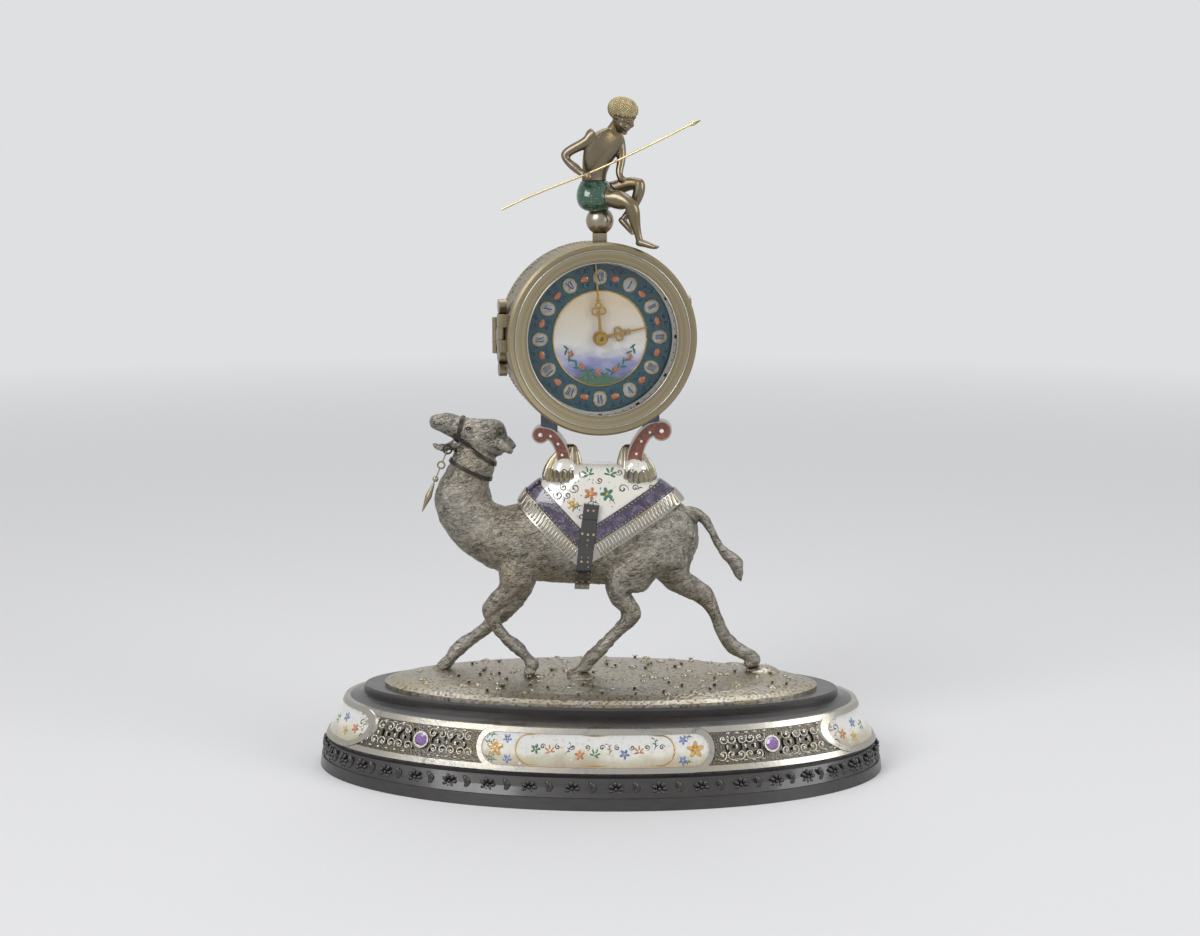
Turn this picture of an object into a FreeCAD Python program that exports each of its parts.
import FreeCAD, Part
import math
import os

# Table clock: a striding two-humped camel carries a drum clock on an oval stepped base.
# Lengths are millimetres. X runs along the base towards the tail, Y runs to the back, Z is up.
# The origin is the centre of the underside.

Vec = FreeCAD.Vector
os.makedirs("parts", exist_ok=True)

# Base: half width and half depth of the oval, and each tier's inset from it as (width, depth)
base_half_width = 120.0
base_half_depth = 66.5
plinth_height = 4.6
plinth_top_inset = (0.6, 1.6)
carving_foot_inset = (1.4, 2.6)
carving_belly_inset = (2.0, 4.4)
carving_head_inset = (3.2, 7.4)
carving_height = 6.6
fillet_height = 1.7
band_foot_inset = (3.8, 9.5)
band_head_inset = (12.4, 16.0)
band_height = 16.8
cornice_foot_inset = (13.2, 17.0)
cornice_cove_inset = (16.6, 24.0)
cornice_height = 1.3
slab_inset = (19.0, 28.0)
slab_height = 3.2
slab_edge_round = 0.8
plate_inset = (28.0, 29.5)
plate_rim_height = 1.3

# Silver band with its plaques and pierced panels
rail_height = 2.2
rail_stand_off = 0.9
plaque_frame_stand_off = 1.3
plaque_frame_width = 2.1
plaque_enamel_stand_off = 0.7
plaque_bed_depth = 0.8
panel_stand_off = 0.6
panel_gap = 0.15
front_plaque_half_length = 48.3
end_plaque_half_length = 31.0
gem_place_share = 0.635
gem_collet_radius = 3.4
gem_collet_height = 1.3
gem_radius = 2.7
gem_height = 1.5
scroll_radius = 3.7
scroll_slot = 1.35
scroll_eye_radius = 0.75

# Screws that draw the base together from below
screw_radius = 1.9
screw_head_radius = 4.0
screw_head_height = 2.4
screw_head_recess = 0.8
screw_place = (62.0, 20.0)
screw_clearance = 0.1

# Ground plate relief, as shares of the plate's half width, half depth and rise
ground_rise = 4.6
ground_level_shares = ((1.0, 0.0), (0.95, 0.26), (0.84, 0.56), (0.62, 0.82), (0.35, 0.97), (0.16, 1.0))
rock_radius = 9.0
rock_height = 4.6
rock_place_shares = (
    (0.74, 0.27, 1.00, 0.82), (0.62, 0.56, 0.70, 0.46), (0.44, 0.66, 0.55, 0.40), (-0.10, 0.70, 0.60, 0.46),
    (-0.38, 0.62, 0.62, 0.36), (-0.74, 0.18, 0.95, 0.35), (-0.08, -0.24, 0.85, 0.62),
    (-0.33, -0.16, 0.55, 0.42),
    (0.33, -0.46, 0.70, 0.30), (0.06, -0.62, 0.60, 0.22), (-0.56, -0.34, 0.55, 0.24),
    (0.70, -0.30, 0.60, 0.24),
)

# Camel: height from its ground line to the top of the front hump, the length that its shares follow
camel_height = 100.0
camel_ground_rise = 0.5
section_points = 12
loft_degree = 3

# Stations as shares of the camel's height: x, z, half height and half width
trunk_shares = (
    (0.410, 0.672, 0.020, 0.018), (0.392, 0.668, 0.075, 0.060), (0.340, 0.652, 0.135, 0.100),
    (0.230, 0.628, 0.172, 0.128), (0.080, 0.612, 0.185, 0.142), (-0.080, 0.610, 0.188, 0.146),
    (-0.220, 0.612, 0.183, 0.140), (-0.340, 0.608, 0.160, 0.126), (-0.440, 0.625, 0.135, 0.108),
)
neck_shares = (
    (-0.530, 0.680, 0.120, 0.098), (-0.575, 0.760, 0.120, 0.088), (-0.568, 0.845, 0.104, 0.078),
    (-0.545, 0.905, 0.093, 0.070), (-0.520, 0.958, 0.086, 0.064), (-0.505, 0.990, 0.070, 0.055),
)
ridge_shares = (
    (0.006, 0.700, 0.352, 0.124), (0.004, 0.790, 0.318, 0.100), (0.000, 0.850, 0.255, 0.079),
    (-0.002, 0.892, 0.180, 0.062), (-0.002, 0.920, 0.110, 0.045), (-0.002, 0.930, 0.040, 0.018),
)
front_hump_shares = (
    (-0.152, 0.840, 0.072, 0.064), (-0.152, 0.895, 0.062, 0.054), (-0.148, 0.940, 0.040, 0.036),
    (-0.145, 0.962, 0.014, 0.012),
)
rear_hump_shares = (
    (0.150, 0.840, 0.072, 0.064), (0.150, 0.895, 0.062, 0.054), (0.146, 0.940, 0.040, 0.036),
    (0.143, 0.962, 0.014, 0.012),
)
head_shares = (
    (-0.392, 1.000, 0.020, 0.020), (-0.415, 1.010, 0.058, 0.045), (-0.465, 1.035, 0.088, 0.062),
    (-0.530, 1.055, 0.072, 0.058), (-0.590, 1.080, 0.052, 0.045), (-0.645, 1.102, 0.044, 0.040),
    (-0.690, 1.108, 0.032, 0.034), (-0.712, 1.104, 0.014, 0.018),
)
jaw_shares = (
    (-0.545, 1.030, 0.032, 0.036), (-0.615, 1.010, 0.020, 0.030), (-0.672, 1.000, 0.013, 0.025),
    (-0.700, 1.016, 0.008, 0.016),
)
ear_shares = (
    (-0.425, 1.030, 0.022, 0.016), (-0.392, 1.012, 0.024, 0.016), (-0.362, 0.990, 0.010, 0.008),
)
ear_side_share = 0.055
near_foreleg_shares = (
    (-0.325, 0.570, 0.100, 0.050), (-0.340, 0.490, 0.082, 0.056), (-0.372, 0.414, 0.058, 0.050),
    (-0.427, 0.358, 0.042, 0.040), (-0.457, 0.310, 0.038, 0.036), (-0.436, 0.250, 0.027, 0.028),
    (-0.398, 0.202, 0.024, 0.025), (-0.361, 0.168, 0.029, 0.029), (-0.327, 0.138, 0.025, 0.027),
    (-0.290, 0.094, 0.026, 0.028), (-0.268, 0.062, 0.010, 0.016),
)
far_foreleg_shares = (
    (-0.290, 0.520, 0.070, 0.046), (-0.335, 0.400, 0.050, 0.044), (-0.396, 0.295, 0.037, 0.036),
    (-0.453, 0.241, 0.033, 0.032), (-0.539, 0.170, 0.027, 0.028), (-0.604, 0.121, 0.032, 0.030),
    (-0.635, 0.085, 0.027, 0.028), (-0.668, 0.045, 0.027, 0.032), (-0.702, 0.022, 0.012, 0.022),
)
near_hindleg_shares = (
    (0.245, 0.650, 0.130, 0.040), (0.205, 0.580, 0.140, 0.062), (0.135, 0.490, 0.098, 0.062),
    (0.088, 0.420, 0.064, 0.050), (0.104, 0.361, 0.046, 0.040), (0.133, 0.318, 0.042, 0.034),
    (0.096, 0.253, 0.029, 0.028), (0.033, 0.187, 0.027, 0.026), (-0.018, 0.135, 0.030, 0.029),
    (-0.052, 0.095, 0.029, 0.030), (-0.100, 0.055, 0.012, 0.022),
)
far_hindleg_shares = (
    (0.250, 0.630, 0.130, 0.040), (0.290, 0.530, 0.110, 0.056), (0.318, 0.445, 0.074, 0.048),
    (0.372, 0.392, 0.051, 0.040), (0.441, 0.350, 0.042, 0.034), (0.484, 0.280, 0.027, 0.027),
    (0.514, 0.206, 0.027, 0.027), (0.553, 0.145, 0.031, 0.029), (0.601, 0.110, 0.030, 0.030),
    (0.644, 0.085, 0.030, 0.032), (0.680, 0.060, 0.012, 0.020),
)
tail_shares = (
    (0.360, 0.738, 0.020, 0.020), (0.400, 0.730, 0.021, 0.021), (0.437, 0.702, 0.021, 0.021),
    (0.461, 0.665, 0.018, 0.018), (0.484, 0.621, 0.017, 0.017), (0.514, 0.572, 0.019, 0.019),
    (0.556, 0.532, 0.029, 0.024), (0.582, 0.484, 0.024, 0.020), (0.599, 0.433, 0.005, 0.005),
)
near_fore_side_share = -0.070
far_fore_side_share = 0.070
near_hind_side_share = -0.080
far_hind_side_share = 0.090

# Saddle cloth layers over the humps; outline points are shares of the camel's height
cloth_thickness = 0.9
cloth_seat_gap = 0.05
fringe_thickness = 1.9
band_thickness = 1.5
girth_thickness = 2.5
girth_width = 6.2
fringe_width = 6.0
saddle_band_width = 6.2
saddle_border_gap = 0.1
saddle_left_share = (-0.370, 0.800)
saddle_right_share = (0.370, 0.800)
saddle_apex_share = (-0.075, 0.515)
saddle_top_share = 1.20
girth_foot_share = (-0.078, 0.380)

# Gadrooned cups on the humps
cup_radius = 8.7
cup_height = 14.6
cup_lobes = 20
cup_lobe_depth = 0.8
cup_level_shares = (
    (0.0, 0.96, 0.00, 0.96, 0.00), (0.12, 1.0, 0.00, 1.00, 0.00), (0.34, 0.94, 0.03, 0.76, 0.07),
    (0.58, 0.78, 0.08, 0.52, 0.07), (0.80, 0.56, 0.15, 0.38, 0.07), (0.94, 0.34, 0.20, 0.27, 0.07),
    (1.0, 0.16, 0.22, 0.13, 0.07),
)
cup_foot_above_plate = 87.0
front_cup_x = -15.8
rear_cup_x = 15.2
cup_seat_gap = 0.05

# Scroll brackets: one outline, mirrored for the rear one, its points as shares of the bracket's height
front_bracket_height = 15.5
rear_bracket_height = 18.0
bracket_foot_above_plate = 93.6
front_bracket_foot_x = 15.4
rear_bracket_foot_x = 14.9
bracket_thickness = 7.0
bracket_outer_shares = (
    (0.16, 0.00), (0.20, 0.22), (0.12, 0.48), (-0.04, 0.74), (-0.26, 0.95), (-0.52, 1.00),
)
bracket_inner_shares = (
    (-0.52, 0.66), (-0.38, 0.64), (-0.27, 0.50), (-0.18, 0.24), (-0.17, 0.00),
)
volute_centre_share = (-0.60, 0.80)
volute_radius_share = 0.235
enamel_margin = 0.6
enamel_depth = 0.5
pearl_radius = 0.6
big_pearl_radius = 0.95
pearl_place_shares = ((-0.60, 0.80), (-0.33, 0.77), (-0.13, 0.56), (-0.02, 0.26))
collar_radius = 4.7
collar_height = 1.4

# Blocks between the brackets and the drum
block_half_width = 3.5
block_half_depth = 3.2
block_x = 21.2
block_middle_x = 0.1
block_foot_share = 0.80
block_reach = 13.0

# Drum clock: its own frame has the dial's front at zero and the viewer on the plus side
drum_height = 183.0
drum_x = -1.5
drum_turn = 14.0
drum_mid_depth = 7.0
case_radius = 38.6
case_wall = 1.3
case_front = 1.2
case_back = 20.0
ledge_width = 3.2
ledge_height = 2.4
bezel_radius = 39.6
bezel_opening = 31.3
bezel_back = 1.4
bezel_front = 7.4
bezel_lip = 1.2
bezel_rim_width = 2.9
bezel_rim_round = 0.9
glass_radius = 32.6
glass_thickness = 0.9
glass_back = 4.0
glass_gap = 0.1
dial_radius = 33.2
dial_thickness = 1.2
dial_centre_radius = 19.9
dial_ring_step = 0.25
dial_joint_gap = 0.05
dial_foot_radius = 0.8
dial_foot_place = 29.0
track_width = 2.6

# Hinges of the bezel and of the back cover
knuckle_radius = 1.4
knuckle_length = 5.0
knuckle_gap = 0.15
hinge_pin_radius = 0.6
hinge_pin_fit = 0.05
bezel_hinge_reach = 1.3
bezel_hinge_height = 3.0
cover_hinge_reach = 1.6
cover_gap = 0.25
cover_thickness = 1.0
cover_crown = 1.6
cover_lip = 2.4

# Side ornaments of the case
ornament_length = 13.0
ornament_width = 9.0
ornament_thickness = 2.4
ornament_lobes = 5

# Movement: plates, pillars and wheels
front_plate_top = 4.0
plate_thickness = 1.5
front_plate_fit = 0.2
back_plate_top = 13.0
back_plate_radius = 27.0
pillar_radius = 1.5
pillar_place = 24.5
pillar_angles = (30.0, 150.0, 210.0, 330.0)
arbor_radius = 0.6
pivot_radius = 0.35
pivot_fit = 0.05
pivot_length = 1.1
arbor_end_play = 0.15
wheel_thickness = 0.7
pinion_length = 1.5
wheel_rim = 1.1
wheel_hub_radius = 1.5
wheel_spoke_width = 0.9
barrel_teeth = 78
barrel_module = 0.32
barrel_body_radius = 11.4
barrel_body_length = 4.4
barrel_wall = 0.6
centre_pinion_teeth = 10
centre_wheel_teeth = 64
centre_module = 0.25
third_pinion_teeth = 8
third_wheel_teeth = 60
third_module = 0.22
fourth_pinion_teeth = 8
fourth_wheel_teeth = 70
fourth_module = 0.18
escape_pinion_teeth = 7
escape_teeth = 15
escape_radius = 3.7
barrel_direction = 270.0
third_direction = 30.0
fourth_direction = 100.0
escape_direction = 170.0
balance_direction = 180.0
balance_radius = 6.4
balance_depth = 16.4
balance_rim = 0.9
balance_staff_radius = 0.45
balance_staff_gap = 0.3
cock_thickness = 0.8
cock_depth = 18.2
cock_width = 4.0
cock_foot_length = 5.0
winding_radius = 1.5
winding_square = 1.9
winding_reach = 19.0
ratchet_teeth = 20
ratchet_radius = 4.4
ratchet_tooth_height = 0.7
ratchet_gap = 0.3
click_length = 6.0
click_width = 1.6
click_gap = 0.35
click_bush_radius = 1.4

# Motion work behind the dial and the hands in front of it
centre_arbor_radius = 0.75
cannon_wall = 0.45
hour_pipe_wall = 0.65
pipe_fit = 0.05
cannon_teeth = 12
minute_wheel_teeth = 36
minute_module = 0.25
minute_pinion_teeth = 10
hour_wheel_teeth = 40
hour_module = 0.24
motion_direction = 205.0
motion_wheel_thickness = 0.5
motion_stud_radius = 0.5
cannon_back = 3.8
minute_wheel_back = 3.7
hour_wheel_back = 2.7
minute_hand_length = 31.0
hour_hand_length = 20.3
minute_hand_turn = 4.0
hour_hand_turn = -78.0
hand_thickness = 0.5
hour_hand_lift = 0.5
minute_hand_lift = 1.6
hand_hub_radius = 3.0
hand_hub_height = 1.5
hand_square = 1.5
hand_root_width = 1.5
hand_tip_width = 0.35
hand_ring_radius = 1.7
hand_ring_width = 0.6
hand_ring_share = 0.62
dial_hole_gap = 0.3

# Finial and figure; the figure's shares follow its standing height, measured from the seat
finial_x = -0.1
pedestal_half_width = 2.9
pedestal_height = 4.2
ball_radius = 5.7
ball_sink_share = 0.12
figure_stature = 80.0
figure_seat_sink_share = 0.06
figure_turn = 31.0
torso_shares = (
    (-0.020, -0.004, 0.030, 0.074, 0.062), (-0.024, -0.002, 0.085, 0.072, 0.056),
    (-0.030, 0.000, 0.145, 0.066, 0.048), (-0.020, -0.002, 0.205, 0.074, 0.052),
    (0.006, -0.006, 0.280, 0.098, 0.058), (0.030, -0.010, 0.345, 0.098, 0.052),
    (0.046, -0.014, 0.385, 0.066, 0.038), (0.056, -0.016, 0.402, 0.036, 0.028),
)
neck_stub_shares = ((0.055, -0.016, 0.375, 0.032), (0.098, -0.032, 0.440, 0.028))
skull_place_share = (0.122, -0.040, 0.450)
skull_size_share = (0.058, 0.054, 0.076)
nose_share = 0.012
nose_drop_share = 0.012
hair_place_share = (0.119, -0.034, 0.497)
hair_size_share = (0.084, 0.080, 0.062)
head_bow = 24.0
near_arm_shares = (
    (-0.020, -0.050, 0.375, 0.036), (-0.050, -0.055, 0.352, 0.033), (-0.110, -0.056, 0.310, 0.027),
    (-0.172, -0.052, 0.256, 0.024), (-0.130, -0.072, 0.210, 0.022), (-0.082, -0.095, 0.172, 0.016),
    (-0.060, -0.104, 0.160, 0.020), (-0.040, -0.104, 0.150, 0.014),
)
far_arm_shares = (
    (0.072, 0.030, 0.368, 0.034), (0.096, 0.038, 0.336, 0.031), (0.108, 0.036, 0.280, 0.025),
    (0.106, 0.020, 0.220, 0.021), (0.100, 0.002, 0.172, 0.018), (0.108, -0.006, 0.150, 0.018),
    (0.128, -0.010, 0.140, 0.012),
)
near_leg_shares = (
    (0.020, -0.030, 0.080, 0.045), (0.072, -0.070, 0.048, 0.046), (0.142, -0.108, 0.032, 0.036),
    (0.166, -0.118, 0.008, 0.034), (0.180, -0.114, -0.050, 0.031), (0.196, -0.110, -0.120, 0.020),
    (0.207, -0.112, -0.165, 0.018), (0.210, -0.113, -0.182, 0.013),
)
far_thigh_shares = (
    (0.030, 0.026, 0.085, 0.042), (0.110, 0.020, 0.108, 0.038), (0.176, 0.002, 0.122, 0.032),
    (0.204, -0.006, 0.118, 0.026), (0.214, -0.008, 0.116, 0.014),
)
far_shin_shares = (
    (0.198, -0.006, 0.146, 0.012), (0.202, -0.006, 0.130, 0.026), (0.202, -0.008, 0.090, 0.030),
    (0.188, -0.008, 0.045, 0.028), (0.156, -0.006, -0.015, 0.022), (0.124, -0.010, -0.056, 0.017),
    (0.116, -0.012, -0.070, 0.014),
)
near_foot_shares = (
    (0.190, -0.102, -0.176, 0.009), (0.204, -0.110, -0.174, 0.017), (0.230, -0.125, -0.176, 0.018),
    (0.264, -0.143, -0.186, 0.015), (0.300, -0.160, -0.192, 0.008),
)
far_foot_shares = (
    (0.100, -0.006, -0.058, 0.010), (0.114, -0.012, -0.066, 0.017), (0.134, -0.022, -0.086, 0.017),
    (0.156, -0.034, -0.112, 0.014), (0.172, -0.042, -0.134, 0.008),
)
loincloth_shares = (
    (-0.028, -0.002, 0.136, 0.0700, 0.0560), (-0.020, -0.010, 0.095, 0.0981, 0.0807),
    (-0.014, -0.016, 0.045, 0.1090, 0.0894), (-0.020, -0.016, 0.004, 0.0850, 0.0698),
    (-0.022, -0.012, -0.018, 0.0436, 0.0392),
)
drum_clearance = 0.3
spear_radius = 0.45
spear_fit = 0.02
spear_shares = (
    (-0.496, -0.120, -0.006), (-0.270, -0.115, 0.094), (-0.052, -0.112, 0.178), (0.200, -0.125, 0.292),
    (0.454, -0.140, 0.418),
)
spear_head_length = 5.4
spear_head_radius = 0.95
spear_tip_radius = 0.12
spear_barb_share = 0.35
spear_steps = 8

# Bridle: straps round the head and neck, a fixed ring and a loose pendant
strap_width = 1.5
strap_thickness = 0.7
strap_seat_gap = 0.05
strap_line_shares = (
    ((-0.560, 1.175), (-0.612, 0.985)), ((-0.612, 1.060), (-0.400, 0.905)),
    ((-0.640, 0.955), (-0.440, 0.860)),
)
ring_place_share = (-0.6365, -0.036, 0.997)
ring_radius = 1.75
ring_wire = 0.4
ring_stud_radius = 0.6
chain_wire = 0.25
link_radius = 1.05
link_wire = 0.3
link_sides = 8
pendant_ring_share = 0.200
pendant_bead_share = 0.440
pendant_leaf_share = 0.520
pendant_lean = 22.5
pendant_length = 27.0
pendant_bead_radius = 1.25
pendant_leaf_radius = 1.4
pendant_leaf_root_radius = 0.5
pendant_leaf_tip_radius = 0.15
pendant_leaf_widest_share = 0.45
pendant_ring_radius = 1.45

# Heights that follow from the base's tiers
plinth_top = plinth_height
carving_top = plinth_top + carving_height
band_foot = carving_top + fillet_height
band_head = band_foot + band_height
slab_foot = band_head + cornice_height
slab_top = slab_foot + slab_height
plate_top = slab_top + plate_rim_height
camel_ground = plate_top + camel_ground_rise
overrun = base_half_width


def oval_wire(half_width, half_depth, height):
    """An oval in a horizontal plane, centred on the clock's axis."""
    curve = Part.Ellipse(Vec(half_width, 0, height), Vec(0, half_depth, height), Vec(0, 0, height))
    return Part.Wire(curve.toShape())


def oval_stack(tiers):
    """A solid through ovals given as (inset pair, height), with straight sides between them."""
    wires = [oval_wire(base_half_width - inset[0], base_half_depth - inset[1], height) for inset,
             height in tiers]
    return Part.makeLoft(wires, True, True)


def band_solid(low, high, outset):
    """The band's sloping body between two heights, grown outwards by the outset."""
    tiers = []
    for height in (low, high):
        rise_share = (height - band_foot) / band_height
        width_inset = band_foot_inset[0] + (band_head_inset[0] - band_foot_inset[0]) * rise_share
        depth_inset = band_foot_inset[1] + (band_head_inset[1] - band_foot_inset[1]) * rise_share
        tiers.append(((width_inset - outset, depth_inset - outset), height))
    return oval_stack(tiers)


def band_shell(low, high, inner, outer):
    """A ring of the band between two outsets."""
    return band_solid(low, high, outer).cut(band_solid(low, high, inner))


def stadium_prism(half_length, radius, height, axis):
    """A bar with rounded ends lying along X or Y, run out across the base to one side."""
    straight = half_length - radius
    corners = [Vec(-straight, 0, -radius), Vec(straight, 0, -radius), Vec(straight, 0, radius),
               Vec(-straight, 0, radius)]
    lower = Part.LineSegment(corners[0], corners[1]).toShape()
    right = Part.Arc(corners[1], Vec(half_length, 0, 0), corners[2]).toShape()
    upper = Part.LineSegment(corners[2], corners[3]).toShape()
    left = Part.Arc(corners[3], Vec(-half_length, 0, 0), corners[0]).toShape()
    prism = Part.Face(Part.Wire([lower, right, upper, left])).extrude(Vec(0, -overrun, 0))
    prism.rotate(Vec(0, 0, 0), Vec(0, 0, 1), axis)
    prism.translate(Vec(0, 0, height))
    return prism


def cylinder(radius, length, base, direction=Vec(0, 0, 1)):
    """A round bar from a base point along a direction."""
    return Part.makeCylinder(radius, length, base, direction)


def tube(outer, inner, length, base):
    """A round tube standing on a base point."""
    return cylinder(outer, length, base).cut(cylinder(inner, length, base))


def fuse_all(shapes):
    """One solid from overlapping shapes."""
    whole = shapes[0].multiFuse(shapes[1:]) if len(shapes) > 1 else shapes[0]
    return whole.removeSplitter()


def section_wire(centre, across, side, half_across, half_side):
    """A smooth closed section with equal steps of angle, so that neighbouring sections match."""
    points = []
    for step in range(section_points):
        angle = 2 * math.pi * step / section_points
        points.append(centre + across * (half_across * math.cos(angle))
                      + side * (half_side * math.sin(angle)))
    curve = Part.BSplineCurve()
    curve.interpolate(Points=points, PeriodicFlag=True,
                      Parameters=[float(n) for n in range(section_points + 1)])
    return Part.Wire(curve.toShape())


def body_loft(stations, side_place, grow=0.0):
    """A swelling and tapering body whose sections stand square to its path in the X-Z plane."""
    wires = []
    last = len(stations) - 1
    for index, (x, z, half_height, half_width) in enumerate(stations):
        before = stations[max(index - 1, 0)]
        after = stations[min(index + 1, last)]
        along = Vec(after[0] - before[0], 0, after[1] - before[1]).normalize()
        across = Vec(along.z, 0, -along.x)
        centre = Vec(x * camel_height, side_place, camel_ground + z * camel_height)
        high = half_height * camel_height + grow
        wide = half_width * camel_height + grow
        wires.append(section_wire(centre, across, Vec(0, 1, 0), high, wide))
    return Part.makeLoft(wires, True, False, False, loft_degree)


def hump_loft(stations, grow=0.0):
    """A hump from level sections, grown for the layers that lie on it."""
    wires = []
    for x, z, half_length, half_width in stations:
        centre = Vec(x * camel_height, 0, camel_ground + z * camel_height + grow)
        long_half = half_length * camel_height + grow
        wide_half = half_width * camel_height + grow
        wires.append(section_wire(centre, Vec(1, 0, 0), Vec(0, 1, 0), long_half, wide_half))
    return Part.makeLoft(wires, True, False, False, loft_degree)


hump_stations = (ridge_shares, front_hump_shares, rear_hump_shares)


def torso(grow):
    """Trunk with both humps, grown by a layer's thickness."""
    return fuse_all([body_loft(trunk_shares, 0, grow)]
                    + [hump_loft(stations, grow) for stations in hump_stations])


def side_prism(points, reach=overrun):
    """A prism through the whole camel from an outline in the X-Z plane."""
    corners = [Vec(x, -reach, z) for x, z in points]
    return Part.Face(Part.makePolygon(corners + corners[:1])).extrude(Vec(0, 2 * reach, 0))


def strip_prism(start, end, width):
    """A straight strip of a given width through the whole camel."""
    run = Vec(end[0] - start[0], 0, end[1] - start[1]).normalize()
    off = Vec(-run.z, 0, run.x) * (width / 2)
    corners = [(start[0] + off.x, start[1] + off.z), (end[0] + off.x, end[1] + off.z),
               (end[0] - off.x, end[1] - off.z), (start[0] - off.x, start[1] - off.z)]
    return side_prism(corners)


def camel_point(share):
    """A point in the X-Z plane from shares of the camel's height."""
    return (share[0] * camel_height, camel_ground + share[1] * camel_height)


def save(name, shape):
    """Write one node."""
    shape.exportStep("parts/" + name + ".step")
    solids = len(shape.Solids)
    print(name, "solids", solids, "volume", round(shape.Volume, 2), "valid", shape.isValid())


# Base tiers
screw_points = [Vec(sx * screw_place[0], sy * screw_place[1], 0) for sx in (-1, 1) for sy in (-1, 1)]
screw_top = slab_top - slab_height / 2
screw_holes = [cylinder(screw_radius + screw_clearance, screw_top + screw_clearance, point)
               for point in screw_points]
head_depth = screw_head_recess + screw_head_height
head_holes = [cylinder(screw_head_radius + screw_clearance, head_depth, point) for point in screw_points]
plinth = oval_stack([((0, 0), 0), (plinth_top_inset, plinth_top)])
plinth = plinth.cut(screw_holes + head_holes)
save("plinth", plinth)

carved_moulding = oval_stack([
    (carving_foot_inset, plinth_top), (carving_belly_inset, plinth_top + carving_height / 2),
    (carving_head_inset, carving_top), (band_foot_inset, carving_top), (band_foot_inset, band_foot)])
save("carved_moulding", carved_moulding.cut(screw_holes))

base_core = band_solid(band_foot, band_head, -plaque_bed_depth).cut(screw_holes)
save("base_core", base_core)

cornice = oval_stack([(cornice_foot_inset, band_head), (cornice_cove_inset, band_head + cornice_height / 2),
                      (slab_inset, slab_foot)])
save("cornice", cornice.cut(screw_holes))

slab_round_inset = (slab_inset[0] + slab_edge_round, slab_inset[1] + slab_edge_round)
top_slab = oval_stack([(slab_inset, slab_foot), (slab_inset, slab_top - slab_edge_round),
                       (slab_round_inset, slab_top)])
save("top_slab", top_slab.cut(screw_holes))

shanks = [cylinder(screw_radius, screw_top - screw_head_recess, point + Vec(0, 0, screw_head_recess))
          for point in screw_points]
heads = [cylinder(screw_head_radius, screw_head_height, point + Vec(0, 0, screw_head_recess))
         for point in screw_points]
screws = [shank.fuse(head).removeSplitter() for shank, head in zip(shanks, heads)]
save("base_screws", Part.makeCompound(screws))

# Ground plate with its relief
plate_half_width = base_half_width - plate_inset[0]
plate_half_depth = base_half_depth - plate_inset[1]
plate_rim = oval_stack([(plate_inset, slab_top), (plate_inset, plate_top)])
level_wires = [oval_wire(plate_half_width * spread, plate_half_depth * spread, plate_top + ground_rise * rise)
               for spread, rise in ground_level_shares]
ground_dome = Part.makeLoft(level_wires, True, True)


def rock(place):
    """A boulder of the cast ground: a squat ball, sunk to its middle in the plate."""
    x_share, y_share, spread, rise = place
    ball = Part.makeSphere(1, Vec(0, 0, 0), Vec(0, 0, 1), 0)
    stretch = FreeCAD.Matrix()
    stretch.scale(rock_radius * spread, rock_radius * spread * 0.75, rock_height * rise)
    boulder = ball.transformGeometry(stretch)
    boulder.translate(Vec(plate_half_width * x_share, plate_half_depth * y_share, plate_top))
    return boulder


rock_shapes = []
for place in rock_place_shares:
    x_share, y_share = place[0], place[1]
    reach = math.hypot(x_share, y_share)
    dome_share = max(0.0, 1.0 - reach * reach)
    boulder = rock(place)
    boulder.translate(Vec(0, 0, ground_rise * dome_share * 0.8))
    rock_shapes.append(boulder)
ground_plate = fuse_all([plate_rim, ground_dome] + rock_shapes)
ground_plate = ground_plate.common(oval_stack([(plate_inset, slab_top),
                                               (plate_inset, camel_ground + ground_rise * 3)]))
save("ground_plate", ground_plate)

# Silver band: rails, plaque frames, enamels and pierced panels
band_middle = (band_foot + band_head) / 2
frame_radius = band_height / 2
enamel_radius = frame_radius - plaque_frame_width
plaque_lengths = ((0.0, front_plaque_half_length), (90.0, end_plaque_half_length),
                  (180.0, front_plaque_half_length), (270.0, end_plaque_half_length))
frame_prisms = [stadium_prism(length, frame_radius, band_middle, turn) for turn, length in plaque_lengths]
gap_prisms = [stadium_prism(length + panel_gap, frame_radius, band_middle, turn) for turn,
              length in plaque_lengths]
enamel_prisms = [stadium_prism(length - plaque_frame_width, enamel_radius, band_middle, turn)
                 for turn, length in plaque_lengths]
rails = []
for low, high in ((band_foot, band_foot + rail_height), (band_head - rail_height, band_head)):
    ring = band_shell(low, high, -plaque_bed_depth, rail_stand_off)
    rails += ring.cut(gap_prisms).Solids
save("band_rails", Part.makeCompound(rails))

frame_ring = band_shell(band_foot, band_head, -plaque_bed_depth, plaque_frame_stand_off)
frames = [frame_ring.common(outer).cut(inner) for outer, inner in zip(frame_prisms, enamel_prisms)]
save("plaque_frames", Part.makeCompound([solid for frame in frames for solid in frame.Solids]))

enamel_ring = band_shell(band_foot, band_head, -plaque_bed_depth, plaque_enamel_stand_off)
plaques = [enamel_ring.common(prism) for prism in enamel_prisms]
save("enamel_plaques", Part.makeCompound([solid for plaque in plaques for solid in plaque.Solids]))

panel_low = band_foot + rail_height
panel_high = band_head - rail_height
panel_ring = band_shell(panel_low, panel_high, -plaque_bed_depth, panel_stand_off).cut(gap_prisms)
band_half_width = base_half_width - (band_foot_inset[0] + band_head_inset[0]) / 2
band_half_depth = base_half_depth - (band_foot_inset[1] + band_head_inset[1]) / 2


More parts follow.
